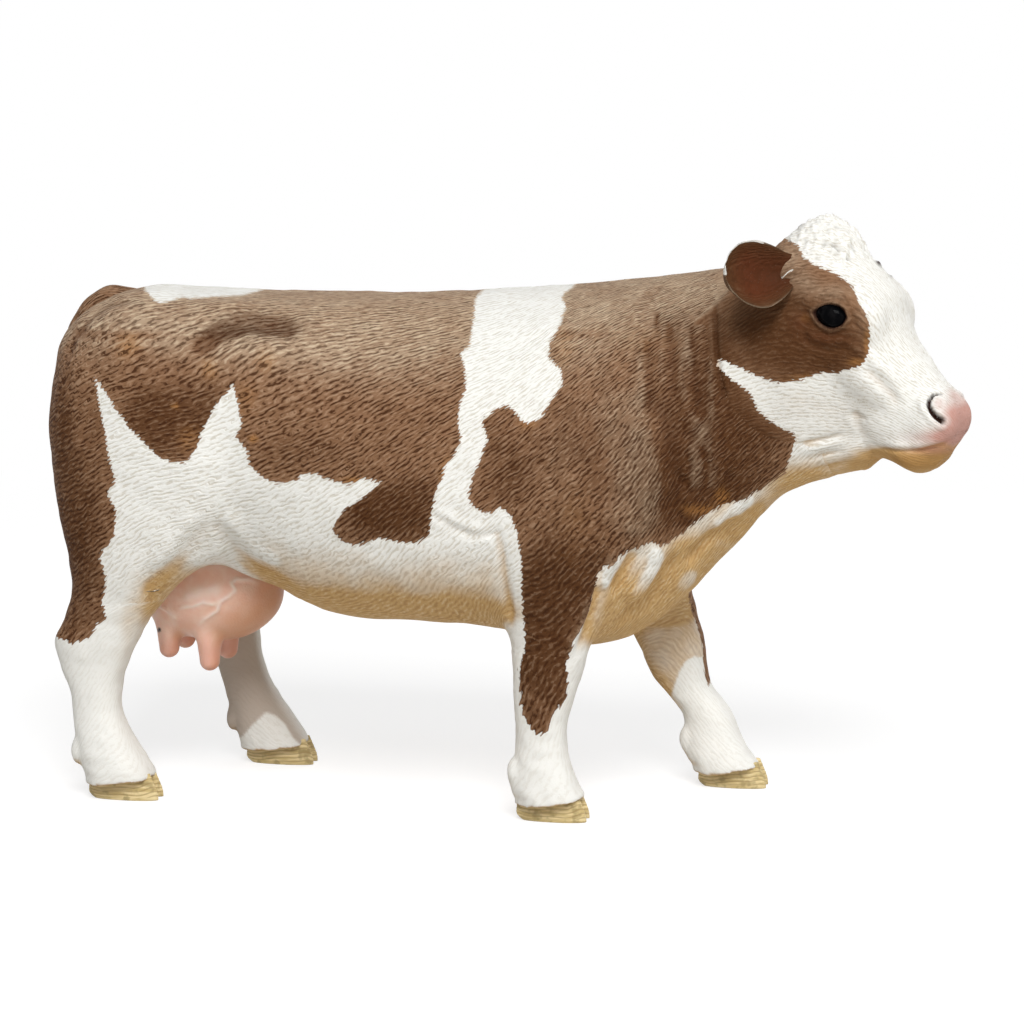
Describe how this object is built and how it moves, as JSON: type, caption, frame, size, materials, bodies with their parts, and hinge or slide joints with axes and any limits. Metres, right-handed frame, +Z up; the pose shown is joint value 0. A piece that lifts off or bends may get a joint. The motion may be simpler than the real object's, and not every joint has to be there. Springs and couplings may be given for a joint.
{
  "type": "toy cow figure",
  "caption": "Solid moulded toy cow in a slow walk, head turned to its right, with a patched coat, an udder with teats, cloven hooves and a hanging tail.",
  "frame": {"origin": "on the ground under the centre of the figure's box", "axes": "+X the way the cow faces, +Y to its left side, +Z up"},
  "size_m": [0.1306, 0.046, 0.084],
  "materials": {
    "brown_coat": "brown paint over moulded hair, with white patches, dull satin",
    "white_coat": "white paint over moulded hair, warm in the folds, dull satin",
    "pink_skin": "smooth pink, slightly translucent, soft satin",
    "hoof_horn": "horn-coloured paint over moulded growth rings",
    "eye_black": "glossy black lacquer"
  },
  "bodies": {
    "root": {"trunk": "brown_coat", "head": "white_coat", "ear_right": "brown_coat", "ear_left": "brown_coat", "foreleg_right": "white_coat", "foreleg_left": "white_coat", "hindleg_right": "white_coat", "hindleg_left": "white_coat", "udder": "pink_skin", "tail": "brown_coat"}
  },
  "joints": []
}
